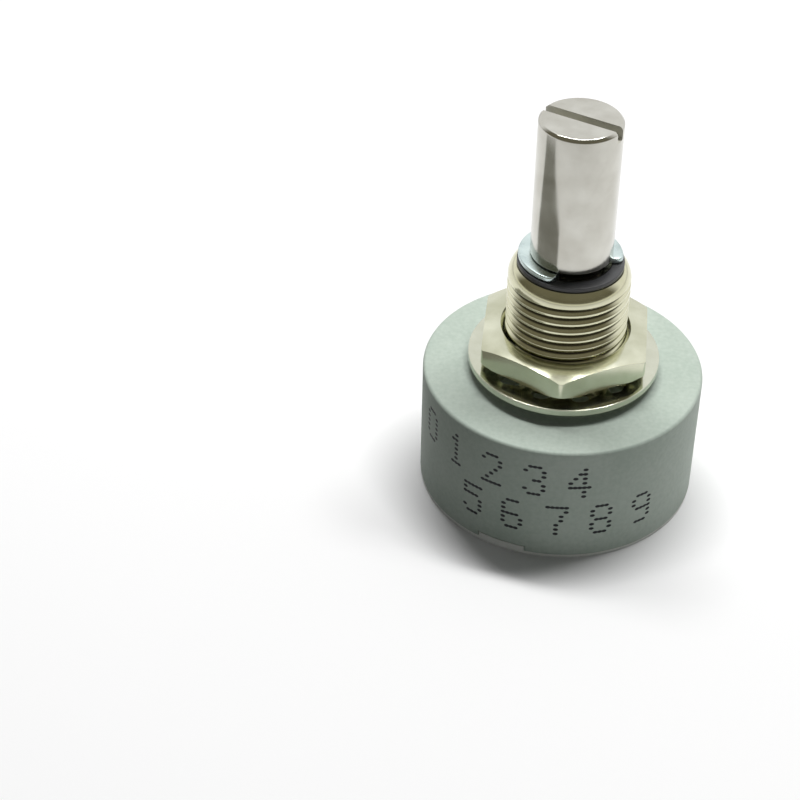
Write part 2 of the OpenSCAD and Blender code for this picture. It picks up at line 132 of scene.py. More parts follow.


# plated or bare metal: the reflection varies with faint smears, and fine tool marks run round the axis;
# real marks are finer, and are drawn as coarse as they need to show; marks, markDepth and smear are in
# millimetres; roots paints shade on what lies deep, as in a thread or a groove, as a darker colour from
# its outer to its inner radius and up to its top
def metal(name, colour, darker, roughness, marks, markDepth, smear=3.0, roots=None):
    material, tree, shader, place = newMaterial(name)
    least, most = plate["smears"]
    cloud = addNode(tree, "ShaderNodeTexNoise", {"Vector": place, "Scale": perMark(smear), "Detail": 5})
    spread = addNode(tree, "ShaderNodeMapRange",
                     {"Value": cloud.outputs["Fac"], "From Min": least, "From Max": most})
    tint = addNode(tree, "ShaderNodeMix", {"Factor": spread.outputs[0], firstColour: toLinear(darker),
                                           secondColour: toLinear(colour)}, data_type="RGBA")
    rough = addNode(tree, "ShaderNodeMapRange",
                    {"Value": cloud.outputs["Fac"], "From Min": least, "From Max": most,
                     "To Min": roughness * plate["smoother"], "To Max": roughness * plate["duller"]})
    around = addNode(tree, "ShaderNodeMapping", {"Vector": place, "Scale": plate["stretch"]})
    lines = addNode(tree, "ShaderNodeTexNoise",
                    {"Vector": around.outputs[0], "Scale": perMark(marks), "Detail": 3})
    bump = addNode(tree, "ShaderNodeBump", {"Height": lines.outputs["Fac"], "Strength": plate["markStrength"],
                                            "Distance": markDepth * mm})
    # painted shade: what lies deep in a thread or groove is given a darker colour
    if roots:
        flat = addNode(tree, "ShaderNodeVectorMath", {0: place, 1: (1, 1, 0)}, operation="MULTIPLY")
        radius = addNode(tree, "ShaderNodeVectorMath", {0: flat.outputs[0]}, operation="LENGTH")
        height = addNode(tree, "ShaderNodeSeparateXYZ", {0: place})
        deep = addNode(tree, "ShaderNodeMapRange",
                       {"Value": radius.outputs["Value"], "From Min": roots["outer"] * mm,
                        "From Max": roots["inner"] * mm}, interpolation_type="SMOOTHSTEP")
        low = addNode(tree, "ShaderNodeMapRange",
                      {"Value": height.outputs["Z"], "From Min": (roots["top"] + plate["shadeFade"]) * mm,
                       "From Max": (roots["top"] - plate["shadeFade"]) * mm})
        share = addNode(tree, "ShaderNodeMath", {0: deep.outputs[0], 1: low.outputs[0]}, operation="MULTIPLY")
        tint = addNode(tree, "ShaderNodeMix",
                       {"Factor": share.outputs[0], firstColour: tint.outputs[mixedColour],
                        secondColour: toLinear(roots["colour"])}, data_type="RGBA")
    tree.links.new(tint.outputs[mixedColour], shader.inputs["Base Color"])
    tree.links.new(rough.outputs[0], shader.inputs["Roughness"])
    tree.links.new(bump.outputs[0], shader.inputs["Normal"])
    shader.inputs["Metallic"].default_value = 1
    return material


# smooth or dull non-metal with a small mottle, whose marks are in millimetres
def plain(name, colour, darker, roughness, mark, gloss=0.5):
    change = 0.15  # share by which the mottle changes the roughness
    material, tree, shader, place = newMaterial(name)
    cloud = addNode(tree, "ShaderNodeTexNoise", {"Vector": place, "Scale": perMark(mark), "Detail": 4})
    tint = addNode(tree, "ShaderNodeMix", {"Factor": cloud.outputs["Fac"], firstColour: toLinear(darker),
                                           secondColour: toLinear(colour)}, data_type="RGBA")
    rough = addNode(tree, "ShaderNodeMapRange",
                    {"Value": cloud.outputs["Fac"], "To Min": roughness * (1 - change),
                     "To Max": roughness * (1 + change)})
    tree.links.new(tint.outputs[mixedColour], shader.inputs["Base Color"])
    tree.links.new(rough.outputs[0], shader.inputs["Roughness"])
    shader.inputs["Specular IOR Level"].default_value = gloss
    return material


# the body is grey with a green cast, and the cover is the same moulding, nearly white
housingPlastic = mouldedPlastic("glassFilledPolyester", "#BDC9BE", "#AEBCB0")
coverPlastic = mouldedPlastic("paleGlassFilledPolyester", "#F2F5EF", "#EAEEE6")
# nickel: a warm mirror, a little clouded
nickel = metal("brightNickelOnBrass", "#DCDDC8", "#C2C3AA", roughness=0.17, marks=0.1, markDepth=0.002)
washerNickel = metal("nickelOnSpringSteel", "#D7D9C9", "#C6C8B5", roughness=0.16, marks=0.2, markDepth=0.002)
# clear zinc: bluish and satin
zinc = metal("blueZincOnSpringSteel", "#D2DFDD", "#B9C9C8", roughness=0.28, marks=0.15, markDepth=0.003,
             smear=1.5)
# gold flash: yellow and softly bright
goldFlash = metal("goldFlashOnBrass", "#E3C27A", "#D0AB60", roughness=0.28, marks=0.2, markDepth=0.003)
# rolled steel, contact alloy and fired silver inside: grey, straw and white, none of them a clear mirror
springSteel = metal("rolledSpringSteel", "#B4B4B2", "#9C9C9A", roughness=0.32, marks=0.1, markDepth=0.002)
contactAlloy = metal("palladiumContactAlloy", "#DCCDAA", "#C6B58E", roughness=0.25, marks=0.1,
                     markDepth=0.002)
firedSilver = metal("firedSilverInk", "#DADAD5", "#C4C4BF", roughness=0.4, marks=0.3, markDepth=0.002)
# nylon and ink: near black, the nylon smooth and the ink dull
blackNylon = plain("blackNylon", "#4A4B4D", "#3E3F41", roughness=0.4, mark=1.2)
printInk = plain("blackPrintInk", "#23272A", "#14171A", roughness=0.6, mark=0.2, gloss=0.3)
# inside: dull dark nylon, brown laminate and burnished black tracks
rotorNylon = plain("glassFilledNylon", "#3A3D40", "#2C2F32", roughness=0.55, mark=0.8)
phenolic = plain("phenolicLaminate", "#7A6440", "#664F2E", roughness=0.5, mark=0.6)
carbonInk = plain("burnishedConductivePlastic", "#242527", "#18191B", roughness=0.3, mark=0.5)
print("materials made:", len(bpy.data.materials))


# modelling helpers

edgeSteps = 3  # rows of faces round a broken edge


# lathe work: a half section of (radius, height, rounding) points, spun once round the shaft axis
def turned(section, steps, roundSteps, closed=True):
    bm = bmesh.new()
    points = [bm.verts.new((r, 0, z)) for r, z, rounding in section]
    for a, b in zip(points, points[1:] + points[:1] if closed else points[1:]):
        bm.edges.new((a, b))
    for size in sorted({s[2] for s in section if s[2] > 0}):
        corners = [p for p, s in zip(points, section) if s[2] == size]
        bmesh.ops.bevel(bm, geom=corners, offset=size, segments=roundSteps, profile=0.5, affect="VERTICES",
                        material=-1)
    bmesh.ops.spin(bm, geom=bm.verts[:] + bm.edges[:], cent=(0, 0, 0), axis=(0, 0, 1), angle=2 * math.pi,
                   steps=steps, use_merge=True)
    bmesh.ops.remove_doubles(bm, verts=bm.verts, dist=weld)
    bmesh.ops.recalc_face_normals(bm, faces=bm.faces)
    return bm


# the points among what an operator made
def newPoints(made):
    return [g for g in made if isinstance(g, bmesh.types.BMVert)]


# extrudes a loop of edges and puts each new point where place(point) says
def nextLoop(bm, edges, place):
    made = bmesh.ops.extrude_edge_only(bm, edges=edges)["geom"]
    for v in newPoints(made):
        v.co = place(v.co)
    return [g for g in made if isinstance(g, bmesh.types.BMEdge) and g.is_boundary]


# turns an open sheet's faces up: it has no outside, so recalculated normals point to either side by chance
def faceUp(bm):
    bmesh.ops.recalc_face_normals(bm, faces=bm.faces)
    bmesh.ops.reverse_faces(bm, faces=[f for f in bm.faces if f.normal.z < 0])


# the point at this radius and height in the same direction from the axis
def at(co, radius, z):
    flat = Vector((co.x, co.y, 0)).normalized() * radius
    return Vector((flat.x, flat.y, z))


def direction(degrees):
    return Vector((math.cos(math.radians(degrees)), math.sin(math.radians(degrees)), 0))


# side planes of a gap that is parallel-sided along a direction, or that spans an arc: each is a point and a
# normal that points out of the gap
def parallelSides(degrees, width):
    across = direction(degrees + 90)
    return [(across * width / 2, across), (across * -width / 2, -across)]


def arcSides(degrees, arc):
    left = direction(degrees + arc / 2 + 90)
    right = direction(degrees - arc / 2 - 90)
    return [(Vector(), left), (Vector(), right)]


# cuts these faces along a plane, and no others
def cutFaces(bm, faces, point, normal):
    edges = [e for f in faces for e in f.edges]
    points = [v for f in faces for v in f.verts]
    bmesh.ops.bisect_plane(bm, geom=list(dict.fromkeys(faces + edges + points)), dist=onPlane, plane_co=point,
                           plane_no=normal)


# cuts the mesh along the side planes, only near the gap, so the rest keeps its faces
def splitAlong(bm, sides, low, high, margin=2):
    for point, normal in sides:
        near = [f for f in bm.faces if low - weld <= f.calc_center_median().z <= high + weld
                and all((v.co - p).dot(n) < margin for v in f.verts for p, n in sides)]
        cutFaces(bm, near, point, normal)


# faces whose middle lies between the side planes and two heights; toward picks one side of the axis
def facesBetween(bm, sides, low, high, toward=None):
    found = []
    for f in bm.faces:
        middle = f.calc_center_median()
        inGap = low < middle.z < high and all((middle - point).dot(normal) < weld for point, normal in sides)
        if inGap and (toward is None or middle.dot(direction(toward)) > 0):
            found.append(f)
    return found


# makes an object of a finished bmesh
def addObject(bm, name, material):
    mesh = bpy.data.meshes.new(name)
    bm.to_mesh(mesh)
    bm.free()
    mesh.materials.append(material)
    made = bpy.data.objects.new(name, mesh)
    bpy.context.scene.collection.objects.link(made)
    return made


def addPiece(bm, name, material, body, node=None, sharp=40, edge=0):
    bmesh.ops.scale(bm, vec=(mm, mm, mm), verts=bm.verts)
    piece = addObject(bm, name, material)
    piece.data.shade_smooth()
    piece.data.set_sharp_from_angle(angle=math.radians(sharp))
    if edge:
        bevel = piece.modifiers.new("brokenEdges", "BEVEL")
        bevel.width = edge * mm
        bevel.segments = edgeSteps
        bevel.limit_method = "ANGLE"
        bevel.angle_limit = math.radians(sharp)
        bevel.harden_normals = True
    if node:
        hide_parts(node)
    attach(piece, body)
    print("piece:", name, len(piece.data.polygons), "faces")
    return piece


# housing

threadR = 4.7625  # crests of the 3/8 in thread, which the housing, the nut and the lock washer fit round
bodyR, rimZ, bossTop = reach("housing")
termLow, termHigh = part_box("terminal_2")[0][2] / mm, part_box("terminal_2")[1][2] / mm
terminals = {"count": 3, "middle": 90, "pitch": 30, "width": 2.0, "gap": 0.08}
keyTab = {"middle": -110, "arc": 21, "height": 0.4, "gapAbove": 0.1, "gapBeside": 0.08}
housing = {
    "bossHeight": 0.4, "bossRadius": 6.3, "edgeRound": 0.3, "bossRound": 0.1, "rimRound": 0.05,
    "roundSteps": 5, "rimWall": 1.3, "ledge": 0.95, "ledgeRise": 0.5, "frontWall": 2.4, "uncut": 2,
    "inkRoom": 0.012, "steps": 256,
}
frontZ = bossTop - housing["bossHeight"]
boreR = bodyR - housing["rimWall"]
terminalTurns = [terminals["middle"] + (i - 1) * terminals["pitch"] for i in range(terminals["count"])]


# opens a notch in the housing's rear rim and closes its two sides and its roof
def cutNotch(bm, angle, sides, top):
    uncutZ = frontZ - housing["uncut"]  # the front of the cup keeps its faces
    splitAlong(bm, sides, rimZ, uncutZ)
    cutFaces(bm, facesBetween(bm, sides, 0, uncutZ), (0, 0, top), (0, 0, 1))
    bmesh.ops.delete(bm, geom=facesBetween(bm, sides, 0, top, angle), context="FACES")
    rim = [e for e in bm.edges if e.is_boundary]
    corners = [v for v in {v for e in rim for v in e.verts} if abs(v.co.z - top) < weld
               and sum(abs(e.other_vert(v).co.z - top) < weld for e in v.link_edges if e.is_boundary) == 1]
    corners.sort(key=lambda v: v.co.dot(sides[0][1]))
    roofEdges = [bm.edges.new(corners[:2]), bm.edges.new(corners[2:])]
    bmesh.ops.edgenet_fill(bm, edges=rim + roofEdges)


def makeHousing():
    h = housing
    wallZ = frontZ - h["frontWall"]
    sideR = bodyR - h["inkRoom"]
    ledgeR = boreR - h["ledge"]
    ledgeZ = termHigh + h["ledgeRise"]
    section = [
        (sideR, rimZ, h["rimRound"]),
        (sideR, frontZ, h["edgeRound"]),
        (h["bossRadius"], frontZ, h["bossRound"]),
        (h["bossRadius"], bossTop, h["bossRound"]),
        (threadR + seat, bossTop, 0),
        (threadR + seat, wallZ, 0),
        (ledgeR, wallZ, 0),
        (ledgeR, ledgeZ, 0),
        (boreR, ledgeZ, 0),
        (boreR, rimZ, h["rimRound"]),
    ]
    bm = turned(section, h["steps"], h["roundSteps"])
    t = terminals
    for angle in terminalTurns:
        cutNotch(bm, angle, parallelSides(angle, t["width"] + 2 * t["gap"]), termHigh + t["gap"])
    k = keyTab
    cutNotch(bm, k["middle"], arcSides(k["middle"], k["arc"]), rimZ + k["height"] + k["gapAbove"])
    bmesh.ops.recalc_face_normals(bm, faces=bm.faces)
    addPiece(bm, "housing_shell", housingPlastic, "stator", "housing")


makeHousing()


# rear cover

cover = {"flange": 0.28, "thickness": 1.4, "inset": 0.05, "edgeRound": 0.06, "roundSteps": 3, "steps": 256}


def raiseTab(bm, angle, sides, top):
    flange = cover["flange"]
    splitAlong(bm, sides, flange, flange)
    tops = facesBetween(bm, sides, flange - weld, flange + weld, angle)
    made = bmesh.ops.extrude_face_region(bm, geom=tops)["geom"]
    for v in newPoints(made):
        v.co = at(v.co, max(v.co.xy.length, boreR + seat), top)
    bmesh.ops.delete(bm, geom=[f for f in tops if f.is_valid], context="FACES")


def makeCover():
    c = cover
    edgeR = bodyR - c["inset"]
    spigotR = boreR - seat
    section = [
        (0, 0, 0),
        (edgeR, 0, c["edgeRound"]),
        (edgeR, c["flange"], 0),
        (spigotR, c["flange"], 0),
        (spigotR, c["thickness"], 0),
        (0, c["thickness"], 0),
    ]
    bm = turned(section, c["steps"], c["roundSteps"], closed=False)
    for angle in terminalTurns:
        raiseTab(bm, angle, parallelSides(angle, terminals["width"]), termLow - seat)
    k = keyTab
    play = math.degrees(k["gapBeside"] / bodyR)
    raiseTab(bm, k["middle"], arcSides(k["middle"], k["arc"] - 2 * play), rimZ + k["height"])
    bmesh.ops.recalc_face_normals(bm, faces=bm.faces)
    addPiece(bm, "cover_moulding", coverPlastic, "stator", "rear_cover")


makeCover()


# bushing: a right-hand thread of 32 turns to the inch

bushing = {
    "pitch": 25.4 / 32, "depth": 0.28, "crest": 0.2, "root": 0.1, "round": 0.05, "roundSteps": 3, "cuts": 3,
    "steps": 96, "lead": 0.42, "belowBoss": 0.6, "threadEnd": 1.2, "runOut": 0.22, "noseRadius": 1.7,
    "noseLength": 1.25, "bore": 3.205, "neck": 4.2, "flangeFlats": 12.0, "flangeThickness": 1.2,
    # painted shade: the dark brown colour at the bottom of the thread, and how far out from the root it
    # reaches
    "rootShadeColour": "#302C1D", "rootShadeEdge": 0.17,
}
bushingLow, bushingTop = reach("bushing")[1:]
# nickel on the thread: the brightest plating, with painted shade, dark brown, at the bottom of the thread
threadNickel = metal("brightNickelOnThread", "#DDDCC2", "#CCCAAC", roughness=0.13, marks=0.1, markDepth=0.002,
                     roots={"colour": bushing["rootShadeColour"], "inner": threadR - bushing["depth"],
                            "outer": threadR - bushing["rootShadeEdge"], "top": bushingTop - bushing["threadEnd"]})


# distance from the axis to a hexagon's side in this direction, with a flat facing +X
def hexRadius(co, flats):
    span = 60  # degrees from one corner to the next
    turn = math.degrees(math.atan2(co.y, co.x))
    return flats / 2 / math.cos(math.radians((turn + span / 2) % span - span / 2))


def makeBushing():
    b = bushing
    pitch = b["pitch"]
    flank = (pitch - b["crest"] - b["root"]) / 2
    low = threadR - b["depth"]
    start = bossTop - 2 * pitch - b["lead"]
    heights = [(low, 0), (low, b["root"] / 2), (threadR, b["root"] / 2 + flank),
               (threadR, pitch - b["root"] / 2 - flank), (low, pitch - b["root"] / 2), (low, pitch)]
    bm = bmesh.new()
    points = [bm.verts.new((r, 0, start + z)) for r, z in heights]
    for a, c in zip(points, points[1:]):
        bm.edges.new((a, c))
    bmesh.ops.bevel(bm, geom=points[1:5], offset=b["round"], segments=b["roundSteps"], profile=0.5,
                    affect="VERTICES", material=-1)
    straight = [e for e in bm.edges if e.calc_length() > 2 * b["round"]]
    bmesh.ops.subdivide_edges(bm, edges=straight, cuts=b["cuts"])
    turns = math.ceil((bushingTop - start) / pitch)
    bmesh.ops.spin(bm, geom=bm.verts[:] + bm.edges[:], cent=(0, 0, 0), axis=(0, 0, 1),
                   dvec=(0, 0, pitch / b["steps"]), angle=2 * math.pi * turns, steps=b["steps"] * turns)
    bmesh.ops.remove_doubles(bm, verts=bm.verts, dist=weld)
    bottom = bossTop - b["belowBoss"]
    for z, normal in ((bushingTop, (0, 0, 1)), (bottom, (0, 0, -1))):
        bmesh.ops.bisect_plane(bm, geom=bm.verts[:] + bm.edges[:] + bm.faces[:], dist=onPlane,
                               plane_co=(0, 0, z), plane_no=normal, clear_outer=True)
    for v in bm.verts:  # the thread runs out below the rounded nose
        filled = min(1, max(0, (v.co.z - bushingTop + b["threadEnd"]) / b["runOut"]))
        r = v.co.xy.length + (threadR - v.co.xy.length) * filled
        above = min(b["noseLength"], max(0, v.co.z - bushingTop + b["noseLength"]))
        noseR = threadR - b["noseRadius"] + math.sqrt(b["noseRadius"] ** 2 - above ** 2)
        v.co = at(v.co, min(r, noseR), v.co.z)
    rim = [e for e in bm.edges if e.is_boundary]
    upper = [e for e in rim if all(abs(v.co.z - bushingTop) < weld for v in e.verts)]
    lower = [e for e in rim if all(abs(v.co.z - bottom) < weld for v in e.verts)]
    flangeTop = bushingLow + b["flangeThickness"]
    lower = nextLoop(bm, lower, lambda co: at(co, b["neck"], bottom))
    lower = nextLoop(bm, lower, lambda co: at(co, b["neck"], flangeTop))
    lower = nextLoop(bm, lower, lambda co: at(co, hexRadius(co, b["flangeFlats"]), flangeTop))
    lower = nextLoop(bm, lower, lambda co: at(co, co.xy.length, bushingLow))
    lower = nextLoop(bm, lower, lambda co: at(co, b["bore"], bushingLow))
    upper = nextLoop(bm, upper, lambda co: at(co, b["bore"], bushingTop))
    bmesh.ops.bridge_loops(bm, edges=upper + lower)
    bmesh.ops.recalc_face_normals(bm, faces=bm.faces)
    addPiece(bm, "threaded_bushing", threadNickel, "stator", "bushing", sharp=35)


makeBushing()


# mounting nut

nut = {
    "faceInset": 0.45, "slope": 18, "dome": 0.6, "domeRing": 0.45, "rearTrim": 0.48, "rearSlope": 30,
    "countersink": 0.28, "gap": 0.06, "cornerRound": 0.22, "cornerSteps": 4, "sideSteps": 15, "edge": 0.12,
}


def makeNut():
    n = nut
    apothem, low, high = reach("mounting_nut")
    holeR = threadR + n["gap"]
    faceR = apothem - n["faceInset"]
    fall = math.tan(math.radians(n["slope"]))
    hexCorner = apothem / math.cos(math.pi / 6)
    rearR = hexCorner - n["rearTrim"]
    rearFall = math.tan(math.radians(n["rearSlope"]))
    bm = bmesh.new()
    bmesh.ops.create_circle(bm, segments=6, radius=hexCorner)
    bmesh.ops.bevel(bm, geom=bm.verts[:], offset=n["cornerRound"], segments=n["cornerSteps"], profile=0.5,
                    affect="VERTICES", material=-1)
    sides = [e for e in bm.edges if e.calc_length() > apothem / 2]
    bmesh.ops.subdivide_edges(bm, edges=sides, cuts=n["sideSteps"])
    for v in bm.verts:
        v.co = at(v.co, v.co.xy.length, low + max(0, v.co.xy.length - rearR) * rearFall)
    cornerR = max(v.co.xy.length for v in bm.verts)

    def onChamfer(co, share):  # the chamfer is a little domed, steeper towards the corners
        r = faceR + (co.xy.length - faceR) * share
        bulge = 1 - n["dome"] * (cornerR - r) / (cornerR - faceR)
        return at(co, r, high - (r - faceR) * fall * bulge)

    loop = bm.edges[:]
    loop = nextLoop(bm, loop, lambda co: onChamfer(co, 1))
    loop = nextLoop(bm, loop, lambda co: onChamfer(co, n["domeRing"]))
    loop = nextLoop(bm, loop, lambda co: at(co, faceR, high))
    loop = nextLoop(bm, loop, lambda co: at(co, holeR + n["countersink"], high))
    loop = nextLoop(bm, loop, lambda co: at(co, holeR, high - n["countersink"]))
    loop = nextLoop(bm, loop, lambda co: at(co, holeR, low + n["countersink"]))
    loop = nextLoop(bm, loop, lambda co: at(co, holeR + n["countersink"], low))
    loop = nextLoop(bm, loop, lambda co: at(co, min(hexRadius(co, 2 * apothem) - seat, rearR), low))
    first = [e for e in bm.edges if e.is_boundary and e not in loop]
    bmesh.ops.bridge_loops(bm, edges=loop + first)
    bmesh.ops.remove_doubles(bm, verts=bm.verts, dist=weld)
    bmesh.ops.recalc_face_normals(bm, faces=bm.faces)
    addPiece(bm, "hex_nut", nickel, "stator", "mounting_nut", sharp=24, edge=n["edge"])


makeNut()


# lock washer

lockWasher = {
    "rim": 1.3, "rimSteps": 4, "sheet": 0.58, "teeth": 12, "toothSteps": 12, "toothRings": 6, "gapSteps": 8,
    "twist": 29, "twistRate": 1.6, "tip": 0.2, "scallop": 0.22, "edge": 0.1,
}


def makeLockWasher():
    w = lockWasher
    outer, low, high = reach("lock_washer")
    rimIn = outer - w["rim"]
    tipR = threadR + w["tip"]
    steps = w["toothSteps"] + w["gapSteps"]
    bm = bmesh.new()
    bmesh.ops.create_circle(bm, segments=steps * w["teeth"], radius=outer)
    loop = bm.edges[:]
    rings = [outer - w["rim"] * k / w["rimSteps"] for k in range(1, w["rimSteps"] + 1)]
    rings += [rimIn - (rimIn - tipR) * k / w["toothRings"] for k in range(1, w["toothRings"] + 1)]
    for r in rings:
        loop = nextLoop(bm, loop, lambda co: at(co, r, 0))
    toothArc = 360 / w["teeth"]
    half = toothArc * w["toothSteps"] / steps / 2
    beyond = half + 0.01  # a hair past a tooth's own side

    def offTooth(co):  # angle from the middle of the nearest tooth
        turn = math.degrees(math.atan2(co.y, co.x))
        return (turn + toothArc / 2) % toothArc - toothArc / 2

    gaps = [f for f in bm.faces if f.calc_center_median().xy.length < rimIn - weld
            and abs(offTooth(f.calc_center_median())) > half]
    bmesh.ops.delete(bm, geom=gaps, context="FACES")
    for v in bm.verts:
        r = v.co.xy.length
        off = offTooth(v.co)
        if abs(off) > beyond and abs(r - rimIn) < weld:  # round bottom of the gap between two teeth
            share = (abs(off) - half) / (toothArc / 2 - half)
            v.co = at(v.co, rimIn + w["scallop"] * math.sin(share * math.pi / 2), 0)
        elif r < rimIn + weld:  # each tooth twists more towards its tip
            share = min(1, (rimIn - r) / (rimIn - tipR) * w["twistRate"])
            bend = math.radians(w["twist"]) * share * share * (3 - 2 * share)
            side = r * math.radians(off)
            centre = math.atan2(v.co.y, v.co.x) - math.radians(off)
            turn = centre + side * math.cos(bend) / r
            v.co = Vector((r * math.cos(turn), r * math.sin(turn), side * math.sin(bend)))
    faceUp(bm)
    bmesh.ops.solidify(bm, geom=bm.faces[:], thickness=w["sheet"])
    top = max(v.co.z for v in bm.verts)
    bottom = min(v.co.z for v in bm.verts)
    bmesh.ops.translate(bm, verts=bm.verts, vec=(0, 0, (low + high) / 2 - (top + bottom) / 2))
    bmesh.ops.recalc_face_normals(bm, faces=bm.faces)
    addPiece(bm, "tooth_washer", washerNickel, "stator", "lock_washer", edge=w["edge"])


makeLockWasher()


# shaft

shaft = {
    "tipChamfer": 0.22, "tipRound": 0.05, "tipRing": 0.1, "slotWidth": 0.85, "slotDepth": 1.0,
    # painted shade: the near-black colour in the groove under the ring, and how far out it reaches
    "slotTurn": -24, "grooveDepth": 0.6, "grooveShadeColour": "#2B2A25", "grooveShadeEdge": 0.3, "ringPlay": 0.1,
    "edgeRound": 0.08, "journalStep": 0.8, "journalFlat": 0.5, "journalRing": 0.3, "rearRound": 0.1,
    "roundSteps": 4, "steps": 192,
}
shaftR, shaftLow, tip = reach("shaft")
grooveR = shaftR - shaft["grooveDepth"]
ringLow, ringHigh = reach("retaining_ring")[1:]
grooveTop = ringHigh + shaft["ringPlay"]
# ground steel: a cool mirror with fine rings, with painted shade in the groove; the slot's milled faces are
# dull
stainless = metal("groundStainlessSteel", "#CFCEC6", "#BDBBB2", roughness=0.15, marks=0.07, markDepth=0.0015,
                  smear=2.0, roots={"colour": shaft["grooveShadeColour"], "inner": grooveR,
                                    "outer": grooveR + shaft["grooveShadeEdge"], "top": grooveTop})
milledSteel = metal("milledStainlessSteel", "#CDCCC4", "#B4B3AA", roughness=0.5, marks=0.1, markDepth=0.004)


def makeShaft():
    s = shaft
    journalR = shaftR - s["journalStep"]
    shoulder = reach("rotor_hub")[2] + seat
    faceR = shaftR - s["tipChamfer"]
    section = [
        (journalR - s["journalRing"], shaftLow, 0),
        (journalR, shaftLow, s["rearRound"]),
        (journalR, shoulder, 0),
        (shaftR, shoulder, s["rearRound"]),
        (shaftR, ringLow - seat, 0),
        (grooveR, ringLow - seat, 0),
        (grooveR, grooveTop, 0),
        (shaftR, grooveTop, s["edgeRound"]),
        (shaftR, tip - s["tipChamfer"], s["edgeRound"]),
        (faceR, tip, s["tipRound"]),
        (faceR - s["tipRing"], tip, 0),
    ]
    bm = turned(section, s["steps"], s["roundSteps"], closed=False)
    for z in (shaftLow, tip):
        end = [e for e in bm.edges if e.is_boundary and abs(e.verts[0].co.z - z) < weld]
        bmesh.ops.edgeloop_fill(bm, edges=end)
    for v in bm.verts:  # flat that keys the rotor to the journal
        if v.co.z < shoulder - weld:
            v.co.x = min(v.co.x, journalR - s["journalFlat"])
    floorZ = tip - s["slotDepth"]
    aboveTip = tip + weld
    sides = parallelSides(s["slotTurn"], s["slotWidth"])
    splitAlong(bm, sides, ringHigh, tip, 2 * shaftR)
    cutFaces(bm, facesBetween(bm, sides, ringHigh, aboveTip), (0, 0, floorZ), (0, 0, 1))
    bmesh.ops.delete(bm, geom=facesBetween(bm, sides, floorZ, aboveTip), context="FACES")
    rim = [e for e in bm.edges if e.is_boundary]
    feet = [v for v in {v for e in rim for v in e.verts} if abs(v.co.z - floorZ) < weld
            and any(e.other_vert(v).co.z > floorZ + weld for e in v.link_edges if e.is_boundary)]
    feet.sort(key=lambda v: v.co.dot(sides[0][1]))
    floorEdges = [bm.edges.new(feet[:2]), bm.edges.new(feet[2:])]
    slotFaces = bmesh.ops.edgenet_fill(bm, edges=rim + floorEdges)["faces"]
    for f in slotFaces:
        f.material_index = 1
    bmesh.ops.recalc_face_normals(bm, faces=bm.faces)
    piece = addPiece(bm, "slotted_shaft", stainless, "rotor", "shaft", sharp=30)
    piece.data.materials.append(milledSteel)


makeShaft()


# retaining ring and thrust washer

ring = {
    "middle": -57.5, "opening": 98, "taper": 0.08, "bore": 2.595, "lip": 4.025, "round": 0.13,
    "roundSteps": 3, "steps": 180, "endArc": 11, "endWidth": 0.5, "edge": 0.06,
}


def makeRing():
    g = ring
    bm = bmesh.new()
    begin = direction(g["middle"] + g["opening"] / 2)
    corners = [(g["bore"], ringLow), (g["lip"], ringLow), (g["lip"], ringHigh), (g["bore"], ringHigh)]
    points = [bm.verts.new(begin * r + Vector((0, 0, z))) for r, z in corners]
    for a, b in zip(points, points[1:] + points[:1]):
        bm.edges.new((a, b))
    bmesh.ops.bevel(bm, geom=points, offset=g["round"], segments=g["roundSteps"], profile=0.5,
                    affect="VERTICES", material=-1)
    bmesh.ops.spin(bm, geom=bm.verts[:] + bm.edges[:], cent=(0, 0, 0), axis=(0, 0, 1),
                   angle=math.radians(360 - g["opening"]), steps=g["steps"])
    bmesh.ops.holes_fill(bm, edges=[e for e in bm.edges if e.is_boundary], sides=0)
    away = direction(g["middle"]) * -g["taper"]
    for v in bm.verts:  # wider opposite the opening, with rounded ends
        r = v.co.xy.length
        if r > (g["bore"] + g["lip"]) / 2:
            off = math.degrees(v.co.xy.angle(direction(g["middle"]).xy)) - g["opening"] / 2
            short = min(1, max(0, 1 - off / g["endArc"]))
            v.co = at(v.co, r - g["endWidth"] * (1 - math.sqrt(1 - short * short)), v.co.z) + away
    bmesh.ops.recalc_face_normals(bm, faces=bm.faces)
    addPiece(bm, "snap_ring", zinc, "rotor", "retaining_ring", edge=g["edge"])


makeRing()

thrust = {"bore": 3.205, "round": 0.06, "roundSteps": 3, "steps": 160}


def makeThrustWasher():
    outer, low, high = reach("thrust_washer")
    corners = [(thrust["bore"], low), (outer, low), (outer, high), (thrust["bore"], high)]
    section = [(r, z, thrust["round"]) for r, z in corners]
    bm = turned(section, thrust["steps"], thrust["roundSteps"])
    addPiece(bm, "black_washer", blackNylon, "stator", "thrust_washer")


makeThrustWasher()


# terminals

lug = {"eyelet": 1.3, "eyeletInset": 1.5, "steps": 32, "edge": 0.05}


